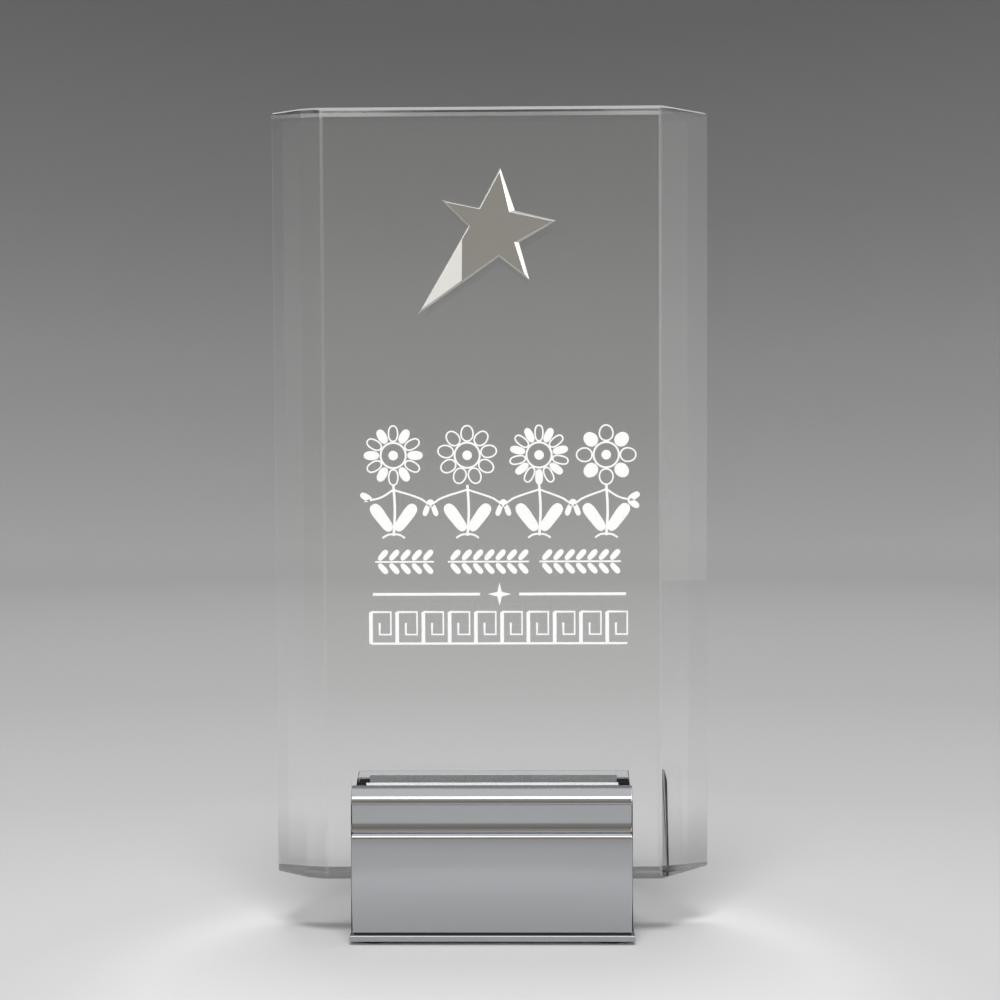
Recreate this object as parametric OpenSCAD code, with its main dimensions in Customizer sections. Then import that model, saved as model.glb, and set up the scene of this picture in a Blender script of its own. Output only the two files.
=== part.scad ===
// Star trophy: a bevelled crystal panel held upright in a two-jaw chromed base,
// with a cast shooting-star badge bonded to its face.
// Millimetres. +Z is up, the front faces -Y, and the origin is the centre of
// the footprint at table level.

/* [Crystal panel] */
// Width between the outer edges
panel_w = 101.6; // [80:0.1:140]
// Height
panel_h = 177.8; // [120:0.1:240]
// Thickness
panel_t = 15; // [11:0.1:20]
// Width of the right edge bevel, seen from the front
right_bevel_w = 11.8; // [6:0.1:16]
// Width of the whole left edge bevel, seen from the front
left_bevel_w = 12.4; // [10:0.1:16]
// Width of the steep outer facet of the left bevel
steep_facet_w = 7.5; // [4:0.1:9]
// Depth of the left bevel where its shallow facet meets the steep one
shallow_facet_d = 2; // [1:0.1:4]
// Flat land left at the back of the right edge
right_land = 1; // [0.5:0.1:6.8]
// Flat land left at the back of the left edge
left_land = 6.4; // [0.5:0.1:6.8]
// Chamfer along the top and bottom edges
arris = 0.8; // [0.3:0.1:2]

/* [Star badge] */
// Length of each short point from the star's centre
star_tip_r = 14; // [10:0.1:18]
// Length of the tail point from the star's centre
star_tail_r = 26.2; // [18:0.1:34]
// Depth of the notches between points, from the star's centre
star_notch_r = 6.2; // [4:0.1:8]
// Thickness
star_t = 3; // [1.5:0.1:5]
// Offset of the star's centre to the right of the panel's middle
star_x = 1.3; // [-10:0.1:10]
// Drop of the star's centre below the panel's top edge
star_drop = 28.2; // [20:0.1:50]
// Thickness of the adhesive behind the star
bond_t = 0.4; // [0.2:0.1:1]
// Margin between the adhesive's outline and the star's
bond_inset = 0.8; // [0.4:0.1:2]

/* [Base] */
// Width of the jaws
base_w = 64.2; // [45:0.1:76]
// Thickness of each jaw at its block, from the slot wall to the outer face
jaw_t = 7.9; // [6.5:0.1:12]
// Height of each jaw's block, up to the ledge
block_h = 22.8; // [16:0.1:30]
// Rounding of the ledge's outer edge
ledge_r = 1; // [0.4:0.1:2]
// Thickness of each lip, from the slot wall to its outer face
lip_t = 7; // [5.5:0.1:7.5]
// Height of each lip's crest above the ledge
lip_h = 10.4; // [8:0.1:16]
// Rounding of each lip's outer top edge
lip_front_r = 2.9; // [1:0.1:3.5]
// Rounding of each lip's inner top edge
lip_back_r = 0.4; // [0.2:0.1:1]
// Fall of each lip's top from its crest to the slot
lip_fall = 0.8; // [0.2:0.1:1.5]
// Height of the spacer bar between the jaws
bar_h = 9.4; // [8:0.1:14]
// Thickness of the base plate
plate_t = 1.5; // [1.2:0.1:3]
// Overhang of the base plate beyond the jaws, all round
plate_lip = 0.5; // [0.3:0.05:2]

/* [Pads] */
// Thickness of each liner between the panel and a jaw
liner_t = 0.4; // [0.2:0.1:1]
// Thickness of the seat pad under the panel
seat_t = 1; // [0.5:0.1:2]
// Thickness of the gasket between the jaws and the base plate
gasket_t = 0.5; // [0.3:0.1:1]
// Inset of each liner from the jaws' end faces
liner_inset = 3; // [0.5:0.1:6]
// Drop of each liner's top below the crest of its lip
liner_drop = 0.2; // [0.1:0.1:3]
// Inset of the seat pad, the bar and the gasket from the jaws' outer faces
pad_inset = 0.5; // [0.3:0.1:2]
// Diameter of each foot
foot_d = 8; // [6:0.1:10]
// Thickness of each foot
foot_t = 0.8; // [0.5:0.1:3]
// Margin between each foot and the base plate's edges
foot_margin = 1.5; // [0.5:0.1:4]

/* [Fasteners] */
// Thread diameter of the flat-head screws
screw_d = 2.5; // [2:0.1:3]
// Head diameter of the flat-head screws
head_d = 4.7; // [4:0.1:5]
// Length of the screws, head included
screw_l = 8; // [6:0.1:9]
// Width across the flats of the hexagon socket
socket_af = 1.5; // [1.3:0.1:2]
// Metal left between each screw head and the plate's upper face
head_web = 0.2; // [0.1:0.05:0.4]
// Distance of the jaw screws from the middle of the base
jaw_screw_x = 19; // [14:0.1:20]
// Distance of the bar screws from the middle of the base
bar_screw_x = 9; // [6:0.1:10]
// Diameter of the dowel pins through the spacer bar
dowel_d = 3; // [2:0.1:4]
// Length of each dowel's end inside a jaw
dowel_grip = 5; // [3:0.1:5.5]
// Distance of the dowels from the jaws' end faces
dowel_end = 6.5; // [4:0.1:7]
// Radial clearance of screws and dowels in their holes
hole_gap = 0.05; // [0.02:0.01:0.1]
// Clearance at the ends of screws and dowels, and beside the spacer bar
end_gap = 0.2; // [0.1:0.05:0.4]

/* [Hidden] */

$fn = 64;
plate_z = foot_t;                               // underside of the base plate
gasket_z = plate_z + plate_t;                   // top of the base plate
jaw_z = gasket_z + gasket_t;                    // underside of the jaws and the bar
seat_z = jaw_z + bar_h;                         // top of the spacer bar
panel_z = seat_z + seat_t;                      // underside of the panel
slot_half = panel_t / 2 + liner_t;              // slot walls from the middle plane
jaw_y = slot_half + jaw_t;                      // outer faces of the jaws
plate_w = base_w + 2 * plate_lip;
plate_d = 2 * (jaw_y + plate_lip);
head_h = plate_t - head_web;
jaw_screw_y = slot_half + jaw_t / 2;
dowel_x = base_w / 2 - dowel_end;
dowel_z = jaw_z + bar_h / 2;
foot_x = plate_w / 2 - foot_margin - foot_d / 2;
foot_y = plate_d / 2 - foot_margin - foot_d / 2;
bore_d = screw_d + 2 * hole_gap;
liner_h = jaw_z + block_h + lip_h - liner_drop - panel_z;
cut = 1;                                        // how far cutters run past a face

// Directions of the star's points and of the notches that follow them,
// anticlockwise from +X; the fourth point is the tail.
tip_angles = [85, 8, -56, -133, 151];
notch_angles = [43, -29, -82, 173, 126];
tail = 3;

jaw_screw_xy = [for (x = [-1, 1], y = [-1, 1]) [x * jaw_screw_x, y * jaw_screw_y]];
bar_screw_xy = [for (x = [-1, 1]) [x * bar_screw_x, 0]];

function polar(r, a) = [r * cos(a), r * sin(a)];

function star_outline() = [for (i = [0:4], k = [0, 1])
    k == 0 ? polar(i == tail ? star_tail_r : star_tip_r, tip_angles[i])
           : polar(star_notch_r, notch_angles[i])];

// Stands a front-view outline up in the XZ plane; its front face is at y = -d.
module upright(d) {
    translate([0, -d, 0]) rotate([90, 0, 0]) mirror([0, 0, 1]) children();
}

// Runs a side-view outline, drawn as Y and Z, along the whole width w.
module along_x(w) {
    translate([-w / 2, 0, 0]) rotate([90, 0, 90]) linear_extrude(w) children();
}

// The panel seen from above: one full bevel on the right, two facets on the left.
module panel_plan() {
    polygon([
        [-panel_w / 2 + left_bevel_w, -panel_t / 2],
        [panel_w / 2 - right_bevel_w, -panel_t / 2],
        [panel_w / 2, panel_t / 2 - right_land],
        [panel_w / 2, panel_t / 2],
        [-panel_w / 2, panel_t / 2],
        [-panel_w / 2, panel_t / 2 - left_land],
        [-panel_w / 2 + steep_facet_w, -panel_t / 2 + shallow_facet_d]]);
}

// The panel seen from the side, with its arris chamfers.
module panel_side() {
    y = panel_t / 2;
    polygon([
        [-y + arris, 0], [y - arris, 0], [y, arris], [y, panel_h - arris],
        [y - arris, panel_h], [-y + arris, panel_h], [-y, panel_h - arris], [-y, arris]]);
}

module glass_panel() {
    color([0.80, 0.84, 0.86, 0.45])
        translate([0, 0, panel_z]) intersection() {
            linear_extrude(panel_h) panel_plan();
            along_x(panel_w) panel_side();
        }
}

// Places a star outline on the panel's face, its back gap in front of the glass.
module on_face(gap, t) {
    translate([star_x, 0, panel_z + panel_h - star_drop])
        upright(panel_t / 2 + gap + t) linear_extrude(t) children();
}

module star_badge() {
    color([0.74, 0.73, 0.71]) on_face(bond_t, star_t) polygon(star_outline());
}

module star_bond() {
    color([0.86, 0.87, 0.84]) on_face(0, bond_t)
        offset(delta = -bond_inset) polygon(star_outline());
}

// The rear jaw seen from the side: a block with a rounded ledge, and a lip whose top falls
// from a rounded crest to the slot.
module jaw_side() {
    top = block_h + lip_h;
    translate([slot_half, 0]) {
        square([jaw_t, block_h - ledge_r]);
        square([jaw_t - ledge_r, block_h]);
        translate([jaw_t - ledge_r, block_h - ledge_r]) circle(ledge_r);
        hull() {
            square([lip_t, block_h]);
            translate([lip_t - lip_front_r, top - lip_front_r]) circle(lip_front_r);
            translate([lip_back_r, top - lip_fall - lip_back_r]) circle(lip_back_r);
        }
    }
}

// A plain hole of the screws' size from below z up to the screw tip's clearance.
module screw_bores(places, z) {
    for (p = places)
        translate([p.x, p.y, z - cut])
            cylinder(d = bore_d, h = plate_z + screw_l + end_gap - z + cut);
}

// Bores for both dowels, long enough for pins that reach half_l to each side.
module dowel_bores(half_l) {
    for (x = [-dowel_x, dowel_x])
        translate([x, half_l, dowel_z]) rotate([90, 0, 0])
            cylinder(d = dowel_d + 2 * hole_gap, h = 2 * half_l);
}

module jaw() {
    color([0.66, 0.67, 0.69]) difference() {
        translate([0, 0, jaw_z]) along_x(base_w) jaw_side();
        screw_bores(jaw_screw_xy, jaw_z);
        dowel_bores(slot_half + dowel_grip + end_gap);
    }
}

module front_jaw() { mirror([0, 1, 0]) jaw(); }
module rear_jaw() { jaw(); }

module liner() {
    color([0.25, 0.26, 0.27])
        translate([liner_inset - base_w / 2, panel_t / 2, panel_z])
            cube([base_w - 2 * liner_inset, liner_t, liner_h]);
}

module front_liner() { mirror([0, 1, 0]) liner(); }
module rear_liner() { liner(); }

module seat_pad() {
    color([0.16, 0.16, 0.17])
        translate([pad_inset - base_w / 2, end_gap - slot_half, seat_z])
            cube([base_w - 2 * pad_inset, 2 * (slot_half - end_gap), seat_t]);
}

module spacer_bar() {
    color([0.55, 0.56, 0.58]) difference() {
        translate([pad_inset - base_w / 2, -slot_half, jaw_z])
            cube([base_w - 2 * pad_inset, 2 * slot_half, bar_h]);
        screw_bores(bar_screw_xy, jaw_z);
        dowel_bores(slot_half + cut);
    }
}

module dowel(x) {
    half_l = slot_half + dowel_grip;
    color([0.48, 0.49, 0.50]) translate([x, half_l, dowel_z]) rotate([90, 0, 0])
        cylinder(d = dowel_d, h = 2 * half_l);
}

module dowel_left() { dowel(-dowel_x); }
module dowel_right() { dowel(dowel_x); }

module plate_gasket() {
    color([0.08, 0.08, 0.08]) difference() {
        translate([pad_inset - base_w / 2, pad_inset - jaw_y, gasket_z])
            cube([base_w - 2 * pad_inset, 2 * (jaw_y - pad_inset), gasket_t]);
        screw_bores(concat(jaw_screw_xy, bar_screw_xy), gasket_z);
    }
}

// A flat-head screw's outline, grown by gap for the plate's countersink.
module screw_head(gap) {
    cylinder(d1 = head_d + 2 * gap, d2 = screw_d + 2 * gap, h = head_h);
}

module base_plate() {
    color([0.66, 0.67, 0.69]) difference() {
        translate([-plate_w / 2, -plate_d / 2, plate_z]) cube([plate_w, plate_d, plate_t]);
        screw_bores(concat(jaw_screw_xy, bar_screw_xy), plate_z);
        for (p = concat(jaw_screw_xy, bar_screw_xy))
            translate([p.x, p.y, plate_z]) screw_head(hole_gap);
    }
}

module screws(places) {
    color([0.40, 0.41, 0.42]) for (p = places)
        translate([p.x, p.y, plate_z]) difference() {
            union() {
                screw_head(0);
                cylinder(d = screw_d, h = screw_l);
            }
            translate([0, 0, -cut])
                cylinder(d = socket_af / cos(30), h = cut + head_h * 0.8, $fn = 6);
        }
}

module jaw_screws() { screws(jaw_screw_xy); }
module bar_screws() { screws(bar_screw_xy); }

module foot(x, y) {
    color([0.12, 0.12, 0.12]) translate([x, y, 0]) cylinder(d = foot_d, h = foot_t);
}

module foot_front_left() { foot(-foot_x, -foot_y); }
module foot_front_right() { foot(foot_x, -foot_y); }
module foot_rear_left() { foot(-foot_x, foot_y); }
module foot_rear_right() { foot(foot_x, foot_y); }

glass_panel();
star_badge();
star_bond();
front_jaw();
rear_jaw();
front_liner();
rear_liner();
seat_pad();
spacer_bar();
dowel_left();
dowel_right();
plate_gasket();
base_plate();
jaw_screws();
bar_screws();
foot_front_left();
foot_front_right();
foot_rear_left();
foot_rear_right();
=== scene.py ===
"""Star trophy: the finished look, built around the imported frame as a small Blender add-on."""

from math import cos, pi, radians, sin, tan

import bmesh
import bpy
from bpy.props import FloatProperty, FloatVectorProperty, PointerProperty
from mathutils import Matrix, Vector


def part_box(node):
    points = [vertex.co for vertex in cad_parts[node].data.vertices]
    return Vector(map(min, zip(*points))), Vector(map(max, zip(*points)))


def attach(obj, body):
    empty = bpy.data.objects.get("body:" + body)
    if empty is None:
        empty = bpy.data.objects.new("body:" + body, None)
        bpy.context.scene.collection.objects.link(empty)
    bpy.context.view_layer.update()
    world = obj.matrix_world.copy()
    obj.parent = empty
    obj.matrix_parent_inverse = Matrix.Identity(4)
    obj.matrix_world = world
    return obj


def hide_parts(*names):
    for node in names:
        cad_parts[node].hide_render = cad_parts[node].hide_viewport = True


bl_info = {
    "name": "Star trophy",
    "version": (1, 0, 0),
    "blender": (4, 5, 0),
    "location": "3D View > Sidebar > Trophy",
    "description": "Builds a crystal star trophy on a chromed base",
    "category": "Add Mesh",
}

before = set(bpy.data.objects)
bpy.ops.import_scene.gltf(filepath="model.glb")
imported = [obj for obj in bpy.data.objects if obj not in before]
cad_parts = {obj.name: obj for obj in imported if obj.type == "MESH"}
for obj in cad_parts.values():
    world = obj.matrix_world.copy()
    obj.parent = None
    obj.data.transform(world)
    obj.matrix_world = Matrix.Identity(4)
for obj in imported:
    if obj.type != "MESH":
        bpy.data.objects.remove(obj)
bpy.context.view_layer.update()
MM = 0.001
ROOT = "root"
MERGE = 1e-6                    # metres: closer vertices are one
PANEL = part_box("glass_panel")
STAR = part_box("star_badge")
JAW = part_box("rear_jaw")
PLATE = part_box("base_plate")
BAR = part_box("spacer_bar")
MADE = {}                       # the material each maker function has made
FEET = ("foot_front_left", "foot_front_right", "foot_rear_left", "foot_rear_right")


def linear(code):
    """An sRGB hex colour as linear red, green, blue and alpha."""
    parts = [int(code[i:i + 2], 16) / 255 for i in (1, 3, 5)]
    return [c / 12.92 if c <= 0.04045 else ((c + 0.055) / 1.055) ** 2.4 for c in parts] + [1.0]


# ---------------------------------------------------------------- settings

def colour_setting(name, code, description):
    """A colour setting whose default is an sRGB hex colour."""
    return FloatVectorProperty(
        name=name, description=description, default=linear(code), size=4, min=0, max=1, subtype="COLOR")


class CrystalSettings(bpy.types.PropertyGroup):
    arris: FloatProperty(
        name="Corner arris", description="Width of the polished chamfers on the front corners",
        default=0.8 * MM, min=0.1 * MM, max=2 * MM, subtype="DISTANCE", unit="LENGTH")
    fine_arris: FloatProperty(
        name="Fine arris", description="Width of the chamfers on the other edges",
        default=0.45 * MM, min=0.1 * MM, max=1 * MM, subtype="DISTANCE", unit="LENGTH")
    ior: FloatProperty(
        name="Refraction", description="Index of refraction of optical crystal",
        default=1.52, min=1.3, max=1.8)
    colour: colour_setting("Crystal", "#FFFFFF", "Colour of the crystal")


class StarSettings(bpy.types.PropertyGroup):
    rim: FloatProperty(
        name="Rim", description="Width of the bevel round the star's face",
        default=0.32 * MM, min=0.1 * MM, max=1.5 * MM, subtype="DISTANCE", unit="LENGTH")
    rim_depth: FloatProperty(
        name="Rim depth", description="Depth of the bevel round the star's face",
        default=0.36 * MM, min=0.1 * MM, max=2 * MM, subtype="DISTANCE", unit="LENGTH")
    crease: FloatProperty(
        name="Crease", description="Place of the crease across the tail, as a share of the star's width",
        default=0.325, min=0.1, max=0.34, subtype="FACTOR")
    tail_tilt: FloatProperty(
        name="Tail tilt", description="Angle the tail's face is swept back by",
        default=radians(4.8), min=0, max=radians(6), subtype="ANGLE", unit="ROTATION")
    broad: FloatProperty(
        name="Broad bevel", description="Extra width of the bevels on the right of two arms",
        default=1 * MM, min=0, max=2 * MM, subtype="DISTANCE", unit="LENGTH")
    edge_round: FloatProperty(
        name="Edge rounding", description="Radius of the buffed edges",
        default=0.08 * MM, subtype="DISTANCE", unit="LENGTH")
    colour: colour_setting("Casting", "#C3C2BF", "Colour of the star's plating")


class BaseSettings(bpy.types.PropertyGroup):
    ledge_height: FloatProperty(
        name="Ledge height", description="Height of each jaw's block above its underside",
        default=22.8 * MM, subtype="DISTANCE", unit="LENGTH")
    ledge_round: FloatProperty(
        name="Ledge rounding", description="Radius of the ledge's outer edge",
        default=1.2 * MM, subtype="DISTANCE", unit="LENGTH")
    crown: FloatProperty(
        name="Face crown", description="How far the block's face leans back at its top",
        default=0.6 * MM, subtype="DISTANCE", unit="LENGTH")
    flare_height: FloatProperty(
        name="Flare height", description="Height of the flared foot of each lip",
        default=1.4 * MM, subtype="DISTANCE", unit="LENGTH")
    lip_thickness: FloatProperty(
        name="Lip thickness", description="Thickness of each lip",
        default=7 * MM, subtype="DISTANCE", unit="LENGTH")
    lip_round: FloatProperty(
        name="Lip rounding", description="Depth of the round along the lip's outer top edge",
        default=2.9 * MM, subtype="DISTANCE", unit="LENGTH")
    lip_fall: FloatProperty(
        name="Lip fall", description="Fall of the lip's top towards the crystal",
        default=0.8 * MM, subtype="DISTANCE", unit="LENGTH")
    bead_height: FloatProperty(
        name="Bead height", description="Height of the round bead along the top of each lip",
        default=3.85 * MM, subtype="DISTANCE", unit="LENGTH")
    bead_step: FloatProperty(
        name="Bead step", description="How far the lip steps back under its bead",
        default=0.25 * MM, subtype="DISTANCE", unit="LENGTH")
    colour: colour_setting("Chrome", "#B3B5B8", "Colour of the base's chrome plating")
    # On the plate gasket this black is painted shade: it stands for the shadow line between the jaws and the
    # plate.
    rubber: colour_setting("Rubber", "#1B1B1C", "Colour of the feet, the seat pad and the gasket")
    edge_round: FloatProperty(
        name="Edge rounding", description="Radius of the polished edges",
        default=0.35 * MM, subtype="DISTANCE", unit="LENGTH")


class EngravingSettings(bpy.types.PropertyGroup):
    line: FloatProperty(
        name="Line width", description="Width of the fine engraved lines",
        default=0.45 * MM, min=0.2 * MM, max=1 * MM, subtype="DISTANCE", unit="LENGTH")
    frost: FloatProperty(
        name="Frost", description="Thickness of the frosted layer",
        default=0.05 * MM, min=0.02 * MM, max=0.2 * MM, subtype="DISTANCE", unit="LENGTH")
    centre: FloatProperty(
        name="Centre", description="Sideways place of the engraving's middle",
        default=2.2 * MM, subtype="DISTANCE", unit="LENGTH")


class StageSettings(bpy.types.PropertyGroup):
    lens: FloatProperty(name="Lens", description="Focal length of the camera, in millimetres", default=74.1)
    place: FloatVectorProperty(
        name="Camera place", description="Where the camera stands",
        default=(0.0109, -0.4798, 0.1228), size=3, subtype="TRANSLATION", unit="LENGTH")
    turn: FloatVectorProperty(
        name="Camera turn", description="Pitch down, roll and turn to the left",
        default=(radians(2.62), radians(-0.262), radians(1.068)), size=3, subtype="EULER", unit="ROTATION")


# ---------------------------------------------------------------- helpers

def add_node(tree, kind, inputs=(), links=(), **settings):
    """Adds a node, sets its properties and input values, and links (input, source socket) pairs."""
    node = tree.nodes.new(kind)
    for key, value in settings.items():
        setattr(node, key, value)
    for key, value in dict(inputs).items():
        node.inputs[key].default_value = value
    for key, source in dict(links).items():
        tree.links.new(source, node.inputs[key])
    return node


def new_material(name):
    """A fresh node material with its Principled shader."""
    material = bpy.data.materials.new(name)
    material.use_nodes = True
    return material, material.node_tree, material.node_tree.nodes["Principled BSDF"]


def set_ramp(node, stops):
    """Gives a colour ramp its (position, linear colour) stops."""
    ramp = node.color_ramp
    while len(ramp.elements) > 1:
        ramp.elements.remove(ramp.elements[-1])
    ramp.elements[0].position, ramp.elements[0].color = stops[0]
    for position, colour in stops[1:]:
        ramp.elements.new(position).color = colour


def repeats(count, length):
    """The scale of a pattern that repeats so many times over a real length."""
    return count / length


def vary_roughness(tree, shader, scale, low, high, detail=2.0):
    """Lets the roughness wander between two values, with noise fixed to the piece."""
    place = add_node(tree, "ShaderNodeTexCoord")
    cloud = add_node(tree, "ShaderNodeTexNoise", {"Scale": scale, "Detail": detail},
                     {"Vector": place.outputs["Object"]})
    spread = add_node(tree, "ShaderNodeMapRange", {"To Min": low, "To Max": high},
                      {"Value": cloud.outputs["Fac"]})
    tree.links.new(spread.outputs["Result"], shader.inputs["Roughness"])


def solid_from_node(name):
    """A copy of a CAD solid as a bmesh, merged, with its flat faces whole."""
    solid = bmesh.new()
    solid.from_mesh(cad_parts[name].data)
    bmesh.ops.remove_doubles(solid, verts=solid.verts, dist=MERGE)
    bmesh.ops.dissolve_limit(
        solid, angle_limit=radians(0.5), verts=solid.verts, edges=solid.edges, delimit=set())
    return solid


def bevel_edges(solid, edges, width, segments=3, kind="OFFSET"):
    """Rounds the given edges, and returns the new faces."""
    made = bmesh.ops.bevel(
        solid, geom=list(edges), offset=width, offset_type=kind, segments=segments, profile=0.5,
        affect="EDGES", material=-1, clamp_overlap=True)
    return made["faces"]


def round_cap(solid, cap, radius, steps=4):
    """Rounds the edge all round an end face by stepping it in and out."""
    angles = [radians(90) * k / steps for k in range(steps + 1)]
    for a, b in zip(angles, angles[1:]):
        bmesh.ops.inset_region(
            solid, faces=[cap], thickness=radius * (cos(a) - cos(b)), depth=radius * (sin(b) - sin(a)),
            use_even_offset=True, use_boundary=True)


def finish_piece(name, solid, materials, replaced=(), smooth=True):
    """Turns a bmesh into a shown piece on the root body."""
    mesh = bpy.data.meshes.new(name)
    solid.to_mesh(mesh)
    solid.free()
    for material in materials:
        mesh.materials.append(material)
    piece = bpy.data.objects.new(name, mesh)
    bpy.context.scene.collection.objects.link(piece)
    if smooth:
        mesh.polygons.foreach_set("use_smooth", [True] * len(mesh.polygons))
        mesh.set_sharp_from_angle(angle=radians(40))
        weighted = piece.modifiers.new("Flat faces stay flat", "WEIGHTED_NORMAL")
        weighted.keep_sharp = True
    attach(piece, ROOT)
    if replaced:
        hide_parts(*replaced)
    return piece


def get_material(maker):
    """The material that a maker function makes, made once."""
    if maker not in MADE:
        MADE[maker] = maker(maker.__name__)
    return MADE[maker]


# ---------------------------------------------------------------- materials

def optical_crystal(name):
    """Polished optical crystal: colourless and clear, with a mirror-smooth surface."""
    material, tree, shader = new_material(name)
    vary_roughness(tree, shader, repeats(1, 25 * MM), 0.0, 0.006, 3.0)
    shader.inputs["Base Color"].default_value = bpy.context.scene.trophy_crystal.colour
    shader.inputs["Transmission Weight"].default_value = 1
    shader.inputs["IOR"].default_value = bpy.context.scene.trophy_crystal.ior
    return material


def ground_crystal(name):
    """Ground and half-polished crystal on the arrises: it scatters a little, so edges read as pale lines."""
    material, tree, shader = new_material(name)
    vary_roughness(tree, shader, repeats(1, 0.4 * MM), 0.15, 0.3)
    shader.inputs["Base Color"].default_value = linear("#FAFBFB")
    shader.inputs["Transmission Weight"].default_value = 0.96
    shader.inputs["IOR"].default_value = bpy.context.scene.trophy_crystal.ior
    return material


def sandblasted_frost(name):
    """Sand-blasted crystal: a dense white matt frost with a fine grain, and a faint painted glow that
    brightens it.
    """
    material, tree, shader = new_material(name)
    place = add_node(tree, "ShaderNodeTexCoord")
    grit = add_node(tree, "ShaderNodeTexNoise", {"Scale": repeats(1, 0.2 * MM), "Detail": 3.0},
                    {"Vector": place.outputs["Object"]})
    tint = add_node(tree, "ShaderNodeValToRGB", links={"Fac": grit.outputs["Fac"]})
    set_ramp(tint, [(0.3, linear("#EEF0F0")), (0.7, linear("#FFFFFF"))])
    tree.links.new(tint.outputs["Color"], shader.inputs["Base Color"])
    shader.inputs["Roughness"].default_value = 0.9
    # Painted glow: a faint white emission lifts the frost above what the lamps alone give it.
    shader.inputs["Emission Color"].default_value = linear("#FFFFFF")
    shader.inputs["Emission Strength"].default_value = 0.03
    return material


def polished_chrome_plate(name):
    """Bright chrome plating over polished metal: a near-mirror with faint cloudy polish marks."""
    material, tree, shader = new_material(name)
    vary_roughness(tree, shader, repeats(3, 50 * MM), 0.03, 0.09, 4.0)
    shader.inputs["Base Color"].default_value = bpy.context.scene.trophy_base.colour
    shader.inputs["Metallic"].default_value = 1
    return material


def cast_chrome(name):
    """Chromed and buffed zinc casting: a slightly warm mirror, softened by buffing."""
    material, tree, shader = new_material(name)
    vary_roughness(tree, shader, repeats(6, 50 * MM), 0.03, 0.07, 4.0)
    shader.inputs["Base Color"].default_value = bpy.context.scene.trophy_star.colour
    shader.inputs["Metallic"].default_value = 1
    return material


def moulded_black_rubber(name):
    """Moulded black rubber: matt, with a fine skin grain."""
    material, tree, shader = new_material(name)
    place = add_node(tree, "ShaderNodeTexCoord")
    grain = add_node(tree, "ShaderNodeTexNoise", {"Scale": repeats(3, MM), "Detail": 2.0},
                     {"Vector": place.outputs["Object"]})
    bump = add_node(tree, "ShaderNodeBump", {"Strength": 0.3, "Distance": 0.02 * MM},
                    {"Height": grain.outputs["Fac"]})
    tree.links.new(bump.outputs["Normal"], shader.inputs["Normal"])
    shader.inputs["Base Color"].default_value = bpy.context.scene.trophy_base.rubber
    shader.inputs["Roughness"].default_value = 0.75
    return material


def white_foam_tape(name):
    """Translucent white foam tape: matt, with fine open pores, and a faint painted glow standing in for the
    light that reaches it through the crystal.
    """
    material, tree, shader = new_material(name)
    place = add_node(tree, "ShaderNodeTexCoord")
    pores = add_node(tree, "ShaderNodeTexVoronoi", {"Scale": repeats(1, 0.4 * MM)},
                     {"Vector": place.outputs["Object"]})
    tint = add_node(tree, "ShaderNodeValToRGB", links={"Fac": pores.outputs["Distance"]})
    set_ramp(tint, [(0.0, linear("#D2D4D4")), (0.6, linear("#EEF0F0"))])
    tree.links.new(tint.outputs["Color"], shader.inputs["Base Color"])
    # Painted glow: the emission stands in for light through the crystal, which the lamps do not give here.
    tree.links.new(tint.outputs["Color"], shader.inputs["Emission Color"])
    shader.inputs["Emission Strength"].default_value = 0.08
    shader.inputs["Roughness"].default_value = 0.95
    return material


def cured_clear_adhesive(name):
    """Clear acrylic bonding sheet: glossy and slightly milky."""
    material, tree, shader = new_material(name)
    vary_roughness(tree, shader, repeats(4, 5 * MM), 0.2, 0.4)
    shader.inputs["Base Color"].default_value = linear("#C9CBC8")
    shader.inputs["IOR"].default_value = 1.47
    return material


def face_milled_aluminium(name):
    """Milled aluminium: satin, with fine cutter lines along the bar."""
    material, tree, shader = new_material(name)
    place = add_node(tree, "ShaderNodeTexCoord")
    stretch = add_node(tree, "ShaderNodeMapping", {"Scale": (0.02, 1.0, 1.0)},
                       {"Vector": place.outputs["Object"]})
    lines = add_node(tree, "ShaderNodeTexNoise", {"Scale": repeats(1, 0.25 * MM), "Detail": 2.0},
                     {"Vector": stretch.outputs["Vector"]})
    spread = add_node(tree, "ShaderNodeMapRange", {"To Min": 0.28, "To Max": 0.5},
                      {"Value": lines.outputs["Fac"]})
    tree.links.new(spread.outputs["Result"], shader.inputs["Roughness"])
    shader.inputs["Base Color"].default_value = linear("#CBCCCE")
    shader.inputs["Metallic"].default_value = 1
    return material


def bright_zinc_steel(name):
    """Zinc-plated steel: a dull bright metal with a soft cloudy finish."""
    material, tree, shader = new_material(name)
    vary_roughness(tree, shader, repeats(9, 10 * MM), 0.25, 0.45, 3.0)
    shader.inputs["Base Color"].default_value = linear("#A9ABAD")
    shader.inputs["Metallic"].default_value = 1
    return material


# ---------------------------------------------------------------- operators

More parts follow.
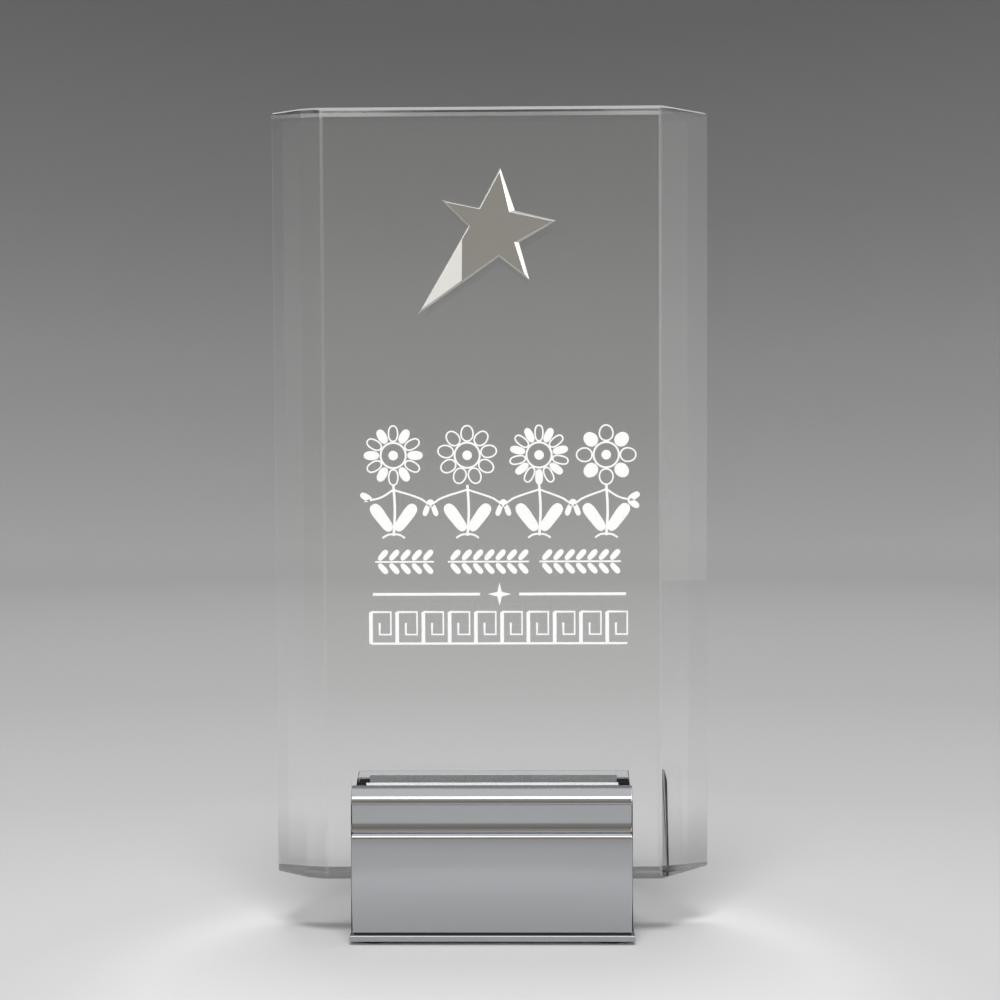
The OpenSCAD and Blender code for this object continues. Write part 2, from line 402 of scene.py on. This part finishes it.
GRADE_LENGTH = 4.0              # metres: how far the sweep's grading runs
GRADE = [                       # metres along the sweep, and its colour there, with painted shade darkening it up the wall
    (0.070, "#D2D2D2"), (0.081, "#C2C2C2"), (0.117, "#C2C2C2"), (0.183, "#BDBDBD"),
    (0.282, "#B7B7B7"), (0.418, "#B4B4B4"), (0.605, "#AFAFAF"), (0.874, "#AFAFAF"),
    (1.283, "#AFAFAF"), (1.686, "#ACACAC"), (1.876, "#A3A3A3"), (2.028, "#9C9C9C"),
    (2.162, "#959595"), (2.284, "#909090"), (2.395, "#898989"), (2.589, "#7D7D7D"),
    (2.751, "#757575"), (2.885, "#6C6C6C")]
LIGHTS = (                      # name, place, target, width and height in metres, radiance, fills, shines
    ("key", (0, -0.9, 2.0), (0, 0, 0), (0.8, 0.6), 17.0, True, False),
    ("back_key", (0, 0.45, 2.0), (0, 0, 0), (0.7, 0.5), 12.0, True, False),
    ("front_strip", (0, -1.2, 0.55), (0, 0, 0.03), (1.9, 0.28), 4.0, True, True),
    ("right_box", (0.98, 0.1, 0.6), (0, 0.1, 0.6), (1.5, 1.2), 0.6, False, True),
    ("right_front_box", (0.75, -0.95, 0.5), (0, 0, 0.5), (0.9, 0.9), 1.9, False, True),
    ("left_box", (-0.98, 0.1, 0.7), (0, 0.1, 0.7), (1.0, 0.7), 0.4, False, True),
    ("tail_card", (-0.235, -0.95, 0.2), (-0.235, 0, 0.2), (0.11, 0.2), 0.9, False, True),
    ("overhead", (0, 0.2, 0.8), (0, 0.2, 0), (3.4, 3.0), 0.62, False, True))


class TROPHY_OT_stage(bpy.types.Operator):
    """Build the floor that sweeps up into a round backdrop, the lights and the camera"""
    bl_idname = "trophy.stage"
    bl_label = "Stage"

    def execute(self, context):
        scene = context.scene
        self.sweep()
        for row in LIGHTS:
            self.light(*row)
        world = scene.world or bpy.data.worlds.new("Studio")
        scene.world = world
        world.use_nodes = True
        world.node_tree.nodes["Background"].inputs["Color"].default_value = linear("#D8D9DA")
        world.node_tree.nodes["Background"].inputs["Strength"].default_value = 0.5
        scene.view_settings.view_transform = "Standard"
        self.camera(scene, scene.trophy_stage)
        return {"FINISHED"}

    def sweep(self):
        """A round floor that curves up into a wall all round."""
        floor_r, wall_r, wall_h = 1.0, 1.6, 0.9         # metres
        solid = bmesh.new()
        spots = [(0, 0, 0), (wall_r, 0, 0), (wall_r, 0, wall_h)]
        verts = [solid.verts.new(p) for p in spots]
        edges = [solid.edges.new(pair) for pair in zip(verts, verts[1:])]
        bmesh.ops.bevel(
            solid, geom=[verts[1]], offset=wall_r - floor_r, offset_type="OFFSET", segments=24,
            profile=0.5, affect="VERTICES", material=-1)
        bmesh.ops.spin(
            solid, geom=solid.verts[:] + solid.edges[:], cent=(0, 0, 0), axis=(0, 0, 1), dvec=(0, 0, 0),
            angle=2 * pi, steps=96, use_merge=True, use_normal_flip=False, use_duplicate=False)
        bmesh.ops.remove_doubles(solid, verts=solid.verts, dist=MERGE)
        bmesh.ops.recalc_face_normals(solid, faces=solid.faces)
        bmesh.ops.reverse_faces(solid, faces=solid.faces)
        mesh = bpy.data.meshes.new("studio_sweep")
        solid.to_mesh(mesh)
        solid.free()
        mesh.polygons.foreach_set("use_smooth", [True] * len(mesh.polygons))
        mesh.materials.append(get_material(studio_paper))
        piece = bpy.data.objects.new("studio_sweep", mesh)
        bpy.context.scene.collection.objects.link(piece)

    def light(self, name, place, target, size, radiance, fills, shines):
        """A soft rectangular light: it fills matt surfaces, shines in glossy ones, or does both."""
        data = bpy.data.lights.new(name, "AREA")
        data.shape = "RECTANGLE"
        data.size, data.size_y = size
        data.energy = radiance * size[0] * size[1] * pi
        lamp = bpy.data.objects.new(name, data)
        lamp.location = place
        lamp.rotation_euler = (Vector(target) - Vector(place)).to_track_quat("-Z", "Y").to_euler()
        lamp.visible_camera = False
        lamp.visible_transmission = False
        lamp.visible_diffuse = fills
        lamp.visible_glossy = shines
        bpy.context.scene.collection.objects.link(lamp)

    def camera(self, scene, settings):
        """The camera, on a full-frame sensor."""
        data = bpy.data.cameras.new("camera")
        data.lens = settings.lens
        data.sensor_width = 36
        data.clip_start, data.clip_end = 0.01, 20
        lens = bpy.data.objects.new("camera", data)
        lens.location = settings.place
        pitch, roll, turn = settings.turn
        lens.rotation_euler = (
            Matrix.Rotation(turn, 3, "Z") @ Matrix.Rotation(pi / 2 - pitch, 3, "X")
            @ Matrix.Rotation(roll, 3, "Z")).to_euler()
        scene.collection.objects.link(lens)
        scene.camera = lens


def studio_paper(name):
    """Matt sweep, pale on the floor, with painted shade that grades it to grey up the wall and towards the
    back, and a darker warm painted shade on the floor and low wall in front of the trophy.
    """
    material, tree, shader = new_material(name)
    place = add_node(tree, "ShaderNodeTexCoord")
    split = add_node(tree, "ShaderNodeSeparateXYZ", links={"Vector": place.outputs["Object"]})
    flat = add_node(tree, "ShaderNodeVectorMath", {1: (1, 1, 0)}, {0: place.outputs["Object"]},
                    operation="MULTIPLY")
    radius = add_node(tree, "ShaderNodeVectorMath", links={0: flat.outputs["Vector"]}, operation="LENGTH")
    along = add_node(tree, "ShaderNodeMath", links={0: radius.outputs["Value"], 1: split.outputs["Z"]},
                     operation="ADD")
    # Painted shade: the grading darkens the sweep towards the back and up the wall, standing in for light
    # falling off.
    back = add_node(tree, "ShaderNodeMath", {1: 0.5}, {0: split.outputs["Y"], 2: along.outputs["Value"]},
                    operation="MULTIPLY_ADD")
    scaled = add_node(tree, "ShaderNodeMath", {1: 1 / GRADE_LENGTH}, {0: back.outputs["Value"]},
                      operation="MULTIPLY")
    tint = add_node(tree, "ShaderNodeValToRGB", links={"Fac": scaled.outputs["Value"]})
    set_ramp(tint, [(place / GRADE_LENGTH, linear(code)) for place, code in GRADE])
    # Painted shade: in front of the trophy the floor and low wall are painted darker and warm, so the chrome
    # reflects them as a dark band.
    front = add_node(tree, "ShaderNodeMapRange", {"From Min": -0.2, "From Max": -0.5},
                     {"Value": split.outputs["Y"]})
    height = add_node(tree, "ShaderNodeMapRange", {"From Min": 0.1, "From Max": 0.22},
                      {"Value": split.outputs["Z"]})
    shade_by_height = add_node(tree, "ShaderNodeMix", {"A": linear("#878178"), "B": linear("#BDBAB5")},
                    {"Factor": height.outputs["Result"]}, data_type="RGBA")
    front_shade = add_node(tree, "ShaderNodeMix", data_type="RGBA", links={
        "Factor": front.outputs["Result"], "A": tint.outputs["Color"], "B": shade_by_height.outputs[2]})
    tree.links.new(front_shade.outputs[2], shader.inputs["Base Color"])
    shader.inputs["Roughness"].default_value = 1
    shader.inputs["Specular IOR Level"].default_value = 0
    return material


class TROPHY_OT_crystal(bpy.types.Operator):
    """Build the crystal panel with its chamfered edges"""
    bl_idname = "trophy.crystal"
    bl_label = "Crystal panel"

    def execute(self, context):
        settings = context.scene.trophy_crystal
        solid = solid_from_node("glass_panel")
        front = PANEL[0].y
        for face in solid.faces:
            face.material_index = 1 if 0.5 < abs(face.normal.z) < 0.9 else 0

        def upright(edge):
            a, b = (v.co for v in edge.verts)
            return abs(a.x - b.x) < MERGE and abs(a.y - b.y) < MERGE

        def at_front(edge):
            return all(abs(v.co.y - front) < MERGE for v in edge.verts)

        corners = [e for e in solid.edges if upright(e) and at_front(e)]
        made = bevel_edges(solid, corners, settings.arris, 1, "WIDTH")
        for face in made:
            face.material_index = 1
        sharp = [e for e in solid.edges
                 if len(e.link_faces) == 2 and e.calc_face_angle() > radians(20)
                 and not any(f.material_index for f in e.link_faces)]
        made = bevel_edges(solid, sharp, settings.fine_arris, 1, "WIDTH")
        for face in made:
            face.material_index = 1
        finish_piece("crystal_panel", solid, [get_material(optical_crystal), get_material(ground_crystal)],
                     ["glass_panel"], smooth=False)
        return {"FINISHED"}


class TROPHY_OT_engraving(bpy.types.Operator):
    """Build the sand-blasted engraving: blossoms, leaf band, rules with a spark, and key band"""
    bl_idname = "trophy.engraving"
    bl_label = "Engraving"

    def execute(self, context):
        settings = context.scene.trophy_engraving
        self.line = settings.line
        self.frost = settings.frost
        self.centre = settings.centre
        for name, maker in (
                ("engraved_blossoms", self.blossoms), ("engraved_leaf_band", self.leaf_band),
                ("engraved_rules", self.rules), ("engraved_key_band", self.key_band)):
            self.strokes, self.fills = [], []
            maker()
            solid = bmesh.new()
            for drawn in (self.trace(), self.cut_out()):
                solid.from_mesh(drawn)
                bpy.data.meshes.remove(drawn)
            finish_piece(name, solid, [get_material(sandblasted_frost)])
        return {"FINISHED"}

    def stroke(self, points, width=None, closed=False, sharp=False):
        """Adds a line through the points."""
        self.strokes.append((points, width or self.line, closed, sharp))

    def leaf(self, x, z, angle, length, width, filled=True):
        """A pointed leaf from its foot at (x, z), towards an angle from upright."""
        turned = Matrix.Rotation(-angle, 2)
        shape = [(0, 0), (width / 2, length * 0.42), (0, length), (-width / 2, length * 0.42)]
        points = [tuple(Vector((x, z)) + turned @ Vector(spot)) for spot in shape]
        if filled:
            self.fills.append(points)
        else:
            self.stroke(points, self.line * 0.8, closed=True)

    def dot(self, x, z, radius, filled=True):
        """A round spot or ring."""
        points = [(x + radius * cos(a), z + radius * sin(a)) for a in (0, pi / 2, pi, 3 * pi / 2)]
        if filled:
            self.fills.append(points)
        else:
            self.stroke(points, closed=True)

    def trace(self):
        """The strokes as flattened round lines lying on the crystal."""
        curve = bpy.data.curves.new("strokes", "CURVE")
        curve.dimensions = "3D"
        curve.bevel_depth = self.line / 2
        curve.bevel_resolution = 2
        curve.resolution_u = 8
        curve.use_fill_caps = True
        for points, width, closed, sharp in self.strokes:
            self.spline(curve, points, closed, sharp, width / self.line)
        return self.lay(curve, self.frost / self.line)

    def cut_out(self):
        """The filled shapes as thin flat cut-outs lying on the crystal."""
        curve = bpy.data.curves.new("fills", "CURVE")
        curve.dimensions = "2D"
        curve.fill_mode = "BOTH"
        curve.extrude = self.frost / 2
        curve.resolution_u = 8
        for points in self.fills:
            self.spline(curve, points, True, len(points) > 4, 1)
        return self.lay(curve, 1)

    def spline(self, curve, points, closed, sharp, radius):
        """Adds a spline through the points, with corners or smooth."""
        spline = curve.splines.new("BEZIER")
        spline.bezier_points.add(len(points) - 1)
        spline.use_cyclic_u = closed
        for spot, (x, z) in zip(spline.bezier_points, points):
            spot.co = (x, z, 0)
            spot.radius = radius
            spot.handle_left_type = spot.handle_right_type = "VECTOR" if sharp else "AUTO"

    def lay(self, curve, flatten):
        """Makes a curve a mesh, flattens it, and stands it on the crystal's front face."""
        holder = bpy.data.objects.new("drawing", curve)
        bpy.context.scene.collection.objects.link(holder)
        bpy.context.view_layer.update()
        depsgraph = bpy.context.evaluated_depsgraph_get()
        mesh = bpy.data.meshes.new_from_object(holder.evaluated_get(depsgraph))
        bpy.data.objects.remove(holder)
        bpy.data.curves.remove(curve)
        mesh.transform(
            Matrix.Translation((self.centre, PANEL[0].y - self.frost * 0.55, 0))
            @ Matrix.Rotation(pi / 2, 4, "X") @ Matrix.Diagonal((1, 1, flatten, 1)))
        return mesh

    def blossoms(self):
        """Four round blossoms on leafy stems, joined by a garland."""
        places = [-24.6 * MM, -7.6 * MM, 8.9 * MM, 24.3 * MM]
        petals = (12, 9, 14, 8)
        head_z, head_r = 111.5 * MM, 6.8 * MM
        for x, count in zip(places, petals):
            core = 2.9 * MM
            foot = core * 1.12
            self.dot(x, head_z, core, False)
            self.dot(x, head_z, 1.1 * MM)
            for k in range(count):
                angle = 2 * pi * k / count
                self.leaf(x + foot * sin(angle), head_z + foot * cos(angle), angle,
                          head_r - foot, 2 * pi * 4.4 * MM / count * 0.9, k % 2 == 1 and count != 9)
            self.stroke([(x, head_z - head_r), (x + 0.3 * MM, 99 * MM), (x, 93 * MM)], self.line * 1.3)
            for side in (-1, 1):
                self.leaf(x + side * 0.6 * MM, 94.2 * MM, side * radians(36), 7.4 * MM, 2.6 * MM)
                self.stroke([(x, 93.4 * MM), (x + side * 1.4 * MM, 93.2 * MM),
                             (x + side * 2.6 * MM, 92.5 * MM)])
        for x, far in zip(places, places[1:]):
            mid = (x + far) / 2
            self.stroke([(x, 103.6 * MM), (mid - 2.4 * MM, 101.6 * MM), (mid, 100.4 * MM),
                         (mid + 2.4 * MM, 101.6 * MM), (far, 103.6 * MM)])
            self.dot(mid, 100.5 * MM, 0.9 * MM)
            self.leaf(mid - 0.5 * MM, 100.2 * MM, radians(200), 2.8 * MM, 1.2 * MM)
            self.leaf(mid + 0.5 * MM, 100.2 * MM, radians(160), 2.8 * MM, 1.2 * MM)
        for x, side in ((places[0], -1), (places[-1], 1)):
            self.stroke([(x, 103.6 * MM), (x + side * 3 * MM, 101.8 * MM),
                         (x + side * 5.4 * MM, 101.2 * MM)])
            self.leaf(x + side * 5 * MM, 101.2 * MM, side * radians(60), 3 * MM, 1.5 * MM)
            self.leaf(x + side * 5 * MM, 101.2 * MM, side * radians(125), 3 * MM, 1.5 * MM)

    def leaf_band(self):
        """Three twigs of paired leaves in a row."""
        middle, pitch = 87 * MM, 2.6 * MM
        for start, count in ((-28.9 * MM, 5), (-12.2 * MM, 7), (8.9 * MM, 7)):
            self.stroke([(start, middle), (start + pitch * (count + 0.2), middle)], self.line * 0.9,
                        sharp=True)
            for k in range(count):
                x = start + pitch * (k + 0.3)
                self.leaf(x, middle + 0.45 * MM, radians(42), 3 * MM, 1.3 * MM)
                self.leaf(x, middle - 0.45 * MM, radians(138), 3 * MM, 1.3 * MM)

    def rules(self):
        """Two rules with a four-pointed spark between them."""
        level = 79.5 * MM
        for start, end in ((-29.5 * MM, -4.8 * MM), (4.2 * MM, 28.8 * MM)):
            self.stroke([(start, level), (end, level)], 0.65 * MM, sharp=True)
        long, waist = 2.7 * MM, 0.75 * MM
        self.fills.append([
            (reach * sin(a) - 0.3 * MM, level + reach * cos(a))
            for k in range(8) for a, reach in [(k * pi / 4, waist if k % 2 else long)]])

    def key_band(self):
        """A row of square hooks on one long line."""
        foot, tall, pitch, count = 68.1 * MM, 7.3 * MM, 6.05 * MM, 10
        start = -30 * MM
        self.stroke([(start, foot), (start + pitch * (count - 1) + 4.6 * MM, foot)], 0.5 * MM, sharp=True)
        for k in range(count):
            x = start + pitch * k
            self.stroke([(x, foot), (x, foot + tall)], 0.85 * MM, sharp=True)
            self.stroke(
                [(x, foot + tall), (x + 4.6 * MM, foot + tall), (x + 4.6 * MM, foot + 2.1 * MM),
                 (x + 2 * MM, foot + 2.1 * MM), (x + 2 * MM, foot + 4.8 * MM)], 0.5 * MM, sharp=True)


class TROPHY_OT_star(bpy.types.Operator):
    """Build the cast shooting star: mirror face with a creased tail, bevelled rim, broad right bevels"""
    bl_idname = "trophy.star"
    bl_label = "Star badge"

    def execute(self, context):
        settings = context.scene.trophy_star
        solid = solid_from_node("star_badge")
        solid.faces.ensure_lookup_table()
        front = next(f for f in solid.faces if f.normal.y < -0.9)
        level = front.calc_center_median().y
        bmesh.ops.inset_region(
            solid, faces=[front], thickness=settings.rim, depth=0, use_even_offset=True, use_boundary=True)
        rim = [v for v in solid.verts if abs(v.co.y - level) < MERGE and v not in front.verts]
        bmesh.ops.translate(solid, verts=rim, vec=(0, settings.rim_depth, 0))
        self.broaden(front, settings)
        crease = self.sweep_tail(solid, front, settings)
        edges = [e for e in solid.edges if len(e.link_faces) == 2 and e.calc_face_angle() > radians(12)]
        bevel_edges(solid, edges, settings.edge_round, 3)
        piece = finish_piece("star_casting", solid, [get_material(cast_chrome)],
                             ["star_badge"])
        for edge in piece.data.edges:
            if all(abs(piece.data.vertices[i].co.x - crease) < settings.rim for i in edge.vertices):
                edge.use_edge_sharp = True
        return {"FINISHED"}

    def sweep_tail(self, solid, front, settings):
        """Creases the star across its tail and tilts the face beyond the crease back."""
        low, high = STAR
        crease = low.x + (high.x - low.x) * settings.crease
        tail_top = low.z + (high.z - low.z) * 0.55      # over the tail, under the arm beside it
        rim = front.calc_center_median().y + settings.rim_depth
        bmesh.ops.bisect_plane(
            solid, geom=solid.faces[:] + solid.edges[:] + solid.verts[:], dist=MERGE,
            plane_co=(crease, 0, 0), plane_no=(1, 0, 0))
        for vert in solid.verts:
            if vert.co.x < crease - MERGE and vert.co.z < tail_top and vert.co.y < rim + MERGE:
                vert.co.y += (crease - vert.co.x) * tan(settings.tail_tilt)
        return crease

    def broaden(self, front, settings):
        """Widens the bevel on the right of the top arm and of the lower right arm."""
        top = max(front.verts, key=lambda v: v.co.z)
        right = max(front.verts, key=lambda v: v.co.x)
        low_right = max(front.verts, key=lambda v: v.co.x - 2 * v.co.z)
        notches = sorted(
            (v for v in front.verts if v not in (top, right, low_right)),
            key=lambda v: (v.co - right.co).length)
        upper = min(notches[:2], key=lambda v: (v.co - top.co).length)
        lower = min(notches[:2], key=lambda v: (v.co - low_right.co).length)
        upper.co.x -= settings.broad
        lower.co.x -= settings.broad * 0.7
        low_right.co.x -= settings.broad * 0.6
        low_right.co.z += settings.broad * 0.6


class TROPHY_OT_jaws(bpy.types.Operator):
    """Build the two chromed jaws: block, rounded ledge and beaded lip"""
    bl_idname = "trophy.jaws"
    bl_label = "Jaws"

    def execute(self, context):
        self.jaw("jaw_back", 1, "rear_jaw", context.scene.trophy_base)
        self.jaw("jaw_front", -1, "front_jaw", context.scene.trophy_base)
        return {"FINISHED"}

    def jaw(self, name, side, node, settings):
        """One jaw: its side outline is rounded, run along the jaw, rounded at both ends, and mirrored."""
        low, high = JAW
        ledge = low.z + settings.ledge_height
        lip = low.y + settings.lip_thickness
        flare = ledge + settings.flare_height
        bead = high.z - settings.bead_height
        band = lip - settings.bead_step
        crest = lip - settings.lip_round
        brow = high.y - settings.crown
        slit = 0.3 * MM                                 # the dark gap between ledge and lip
        cheek = (high.y - settings.crown * 0.3, low.z + settings.ledge_height * 0.72)
        outline = [
            (low.y, low.z), (high.y, low.z), (high.y, low.z + settings.ledge_height * 0.4), cheek,
            (brow, ledge), (lip - slit * 2, ledge), (lip - slit * 2, ledge + slit), (lip, ledge + slit),
            (band, flare), (band, bead - settings.bead_step),
            (lip, bead), (lip, high.z), (crest, high.z), (low.y, high.z - settings.lip_fall)]
        solid = bmesh.new()
        inset = settings.edge_round
        verts = [solid.verts.new((low.x + inset, y, z)) for y, z in outline]
        solid.faces.new(verts)
        for spot, radius, segments in (
                ((lip, high.z), settings.lip_round * 0.995, 24),
                ((low.y, high.z - settings.lip_fall), 0.4 * MM, 6),
                ((crest, high.z), 0.8 * MM, 8),
                ((band, flare), 1.2 * MM, 10),
                (cheek, 5 * MM, 12),
                ((brow, ledge), settings.ledge_round, 16),
                ((high.y, low.z), 0.2 * MM, 3)):
            corner = min(solid.verts, key=lambda v: (v.co.y - spot[0]) ** 2 + (v.co.z - spot[1]) ** 2)
            bmesh.ops.bevel(
                solid, geom=[corner], offset=radius, offset_type="OFFSET", segments=segments, profile=0.5,
                affect="VERTICES", material=-1)
        round_lip = [v for v in solid.verts
                     if v.co.y > crest + MERGE and v.co.z > high.z - settings.lip_round - MERGE]
        bmesh.ops.scale(
            solid, verts=round_lip, vec=(1, 1, settings.bead_height / settings.lip_round * 0.99),
            space=Matrix.Translation((0, 0, -high.z)))
        grown = bmesh.ops.extrude_face_region(solid, geom=solid.faces[:])
        moved = [v for v in grown["geom"] if isinstance(v, bmesh.types.BMVert)]
        bmesh.ops.translate(solid, verts=moved, vec=(high.x - low.x - 2 * inset, 0, 0))
        bmesh.ops.recalc_face_normals(solid, faces=solid.faces)
        for cap in [f for f in solid.faces if abs(f.normal.x) > 0.9]:
            round_cap(solid, cap, inset)
        if side < 0:
            bmesh.ops.scale(solid, verts=solid.verts, vec=(1, -1, 1))
        bmesh.ops.recalc_face_normals(solid, faces=solid.faces)
        finish_piece(name, solid, [get_material(polished_chrome_plate)], [node])


class TROPHY_OT_plate(bpy.types.Operator):
    """Build the chromed base plate and the spacer bar, with their drilled holes"""
    bl_idname = "trophy.plate"
    bl_label = "Base plate and bar"

    def execute(self, context):
        for name, node, box, maker, slot, radius in (
                ("chrome_base_plate", "base_plate", PLATE, polished_chrome_plate, "chrome_plate", 0.3 * MM),
                ("milled_bar", "spacer_bar", BAR, face_milled_aluminium, "satin_aluminium", 0.25 * MM)):
            solid = solid_from_node(node)
            low, high = box

            def on_box(edge):
                walls = 0
                for axis in range(3):
                    for wall in (low[axis], high[axis]):
                        walls += all(abs(v.co[axis] - wall) < MERGE for v in edge.verts)
                return walls >= 2

            bevel_edges(solid, [e for e in solid.edges if on_box(e)], radius, 3)
            finish_piece(name, solid, [get_material(maker)], [node])
        return {"FINISHED"}


class TROPHY_OT_feet(bpy.types.Operator):
    """Build the four thin rubber feet with rounded rims"""
    bl_idname = "trophy.feet"
    bl_label = "Feet"

    def execute(self, context):
        for node in FEET:
            low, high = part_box(node)
            middle = (low + high) / 2
            radius, height = (high.x - low.x) / 2, high.z - low.z
            solid = bmesh.new()
            bmesh.ops.create_cone(
                solid, cap_ends=True, cap_tris=False, segments=64, radius1=radius * 0.96, radius2=radius,
                depth=height, matrix=Matrix.Translation(middle))
            rims = [e for e in solid.edges if abs(e.verts[0].co.z - e.verts[1].co.z) < MERGE]
            bevel_edges(solid, rims, height * 0.2, 3)
            finish_piece("rubber_" + node, solid, [get_material(moulded_black_rubber)], [node])
        return {"FINISHED"}


class TROPHY_OT_hidden_parts(bpy.types.Operator):
    """Give the pads, dowels and screws, which keep their designed shape, their materials"""
    bl_idname = "trophy.hidden_parts"
    bl_label = "Pads and fasteners"

    def execute(self, context):
        finishes = {
            cured_clear_adhesive: ("star_bond",),
            white_foam_tape: ("front_liner", "rear_liner"),
            # The plate gasket's black rubber is painted shade, a dark sheet for the shadow line between the
            # jaws and the plate.
            moulded_black_rubber: ("seat_pad", "plate_gasket"),
            bright_zinc_steel: ("dowel_left", "dowel_right", "jaw_screws", "bar_screws"),
        }
        for maker, nodes in finishes.items():
            for node in nodes:
                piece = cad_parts[node]
                piece.data.materials.clear()
                piece.data.materials.append(get_material(maker))
        return {"FINISHED"}


class TROPHY_PT_panel(bpy.types.Panel):
    """Lists the trophy's building steps"""
    bl_idname = "TROPHY_PT_panel"
    bl_label = "Star trophy"
    bl_space_type = "VIEW_3D"
    bl_region_type = "UI"
    bl_category = "Trophy"

    def draw(self, context):
        for step in STEPS:
            self.layout.operator(step.bl_idname)


SETTINGS = {
    "trophy_crystal": CrystalSettings,
    "trophy_star": StarSettings,
    "trophy_base": BaseSettings,
    "trophy_engraving": EngravingSettings,
    "trophy_stage": StageSettings,
}
STEPS = (
    TROPHY_OT_stage, TROPHY_OT_crystal, TROPHY_OT_engraving, TROPHY_OT_star, TROPHY_OT_jaws,
    TROPHY_OT_plate, TROPHY_OT_feet, TROPHY_OT_hidden_parts)


def register():
    for kind in (*SETTINGS.values(), *STEPS, TROPHY_PT_panel):
        bpy.utils.register_class(kind)
    for name, kind in SETTINGS.items():
        setattr(bpy.types.Scene, name, PointerProperty(type=kind))


def unregister():
    for name in SETTINGS:
        delattr(bpy.types.Scene, name)
    for kind in reversed((*SETTINGS.values(), *STEPS, TROPHY_PT_panel)):
        bpy.utils.unregister_class(kind)


def main():
    register()
    for step in STEPS:
        group, name = step.bl_idname.split(".")
        getattr(getattr(bpy.ops, group), name)()


if __name__ == "__main__":
    main()
